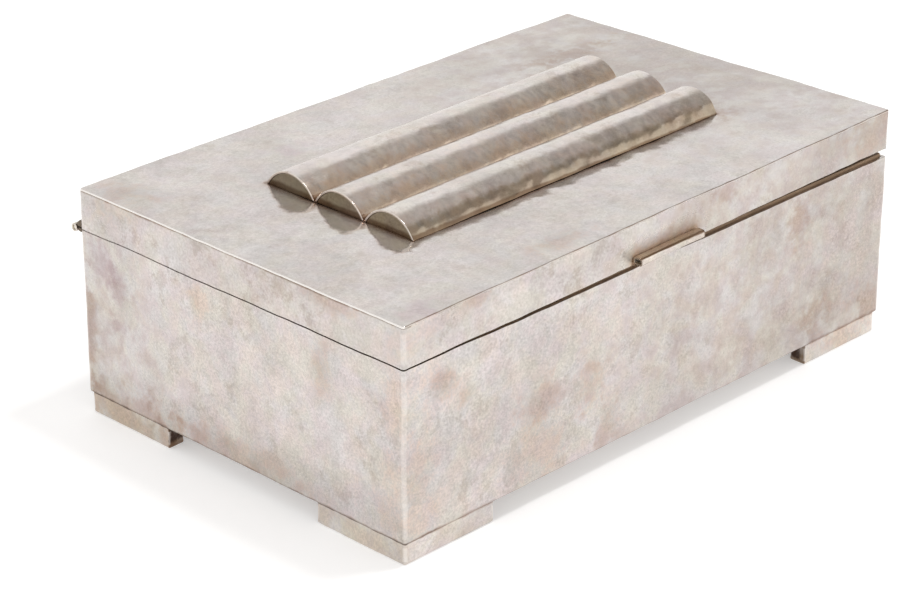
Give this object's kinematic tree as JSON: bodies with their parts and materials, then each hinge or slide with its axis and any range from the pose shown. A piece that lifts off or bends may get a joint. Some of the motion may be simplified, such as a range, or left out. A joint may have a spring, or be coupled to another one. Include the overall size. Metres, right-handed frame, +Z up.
{
  "type": "silver casket",
  "caption": "Rectangular hammered silver casket on corner feet, with a wood lining, a hinged lid with half-round bars on top and a thumb-piece in front.",
  "frame": {"origin": "on the table, at the bottom centre of the whole casket's bounding box", "axes": "+X to the right along the casket's length, -Y towards the front with the thumb-piece, +Z up"},
  "size_m": [0.24, 0.1624, 0.0917],
  "materials": {
    "silver_sheet": "satin hammered silver with soft tarnish mottling",
    "silver_dull": "duller, slightly tarnished silver",
    "cedar": "plain oiled cedar boards"
  },
  "bodies": {
    "casket": {"body_walls": "silver_sheet", "body_floor": "silver_sheet", "foot_front_left": "silver_dull", "foot_front_right": "silver_dull", "foot_back_left": "silver_dull", "foot_back_right": "silver_dull", "lining_floor": "cedar", "lining_front": "cedar", "lining_back": "cedar", "lining_left": "cedar", "lining_right": "cedar", "hinge_bearer_body": "silver_dull", "hinge_knuckle_1": "silver_dull", "hinge_knuckle_3": "silver_dull", "hinge_knuckle_5": "silver_dull", "hinge_knuckle_7": "silver_dull", "hinge_pin": "silver_dull"},
    "lid": {"lid_rim": "silver_sheet", "lid_top": "silver_sheet", "bar_front": "silver_sheet", "bar_middle": "silver_sheet", "bar_back": "silver_sheet", "bar_front_cap_left": "silver_dull", "bar_front_cap_right": "silver_dull", "bar_middle_cap_left": "silver_dull", "bar_middle_cap_right": "silver_dull", "bar_back_cap_left": "silver_dull", "bar_back_cap_right": "silver_dull", "thumb_piece": "silver_sheet", "hinge_bearer_lid": "silver_dull", "hinge_knuckle_2": "silver_dull", "hinge_knuckle_4": "silver_dull", "hinge_knuckle_6": "silver_dull"}
  },
  "joints": [
    {"name": "lid_hinge", "type": "hinge", "parent": "casket", "child": "lid", "pos_m": [0, 0.0797, 0.0677], "axis": [-1, 0, 0], "range_deg": [0, 105]}
  ]
}
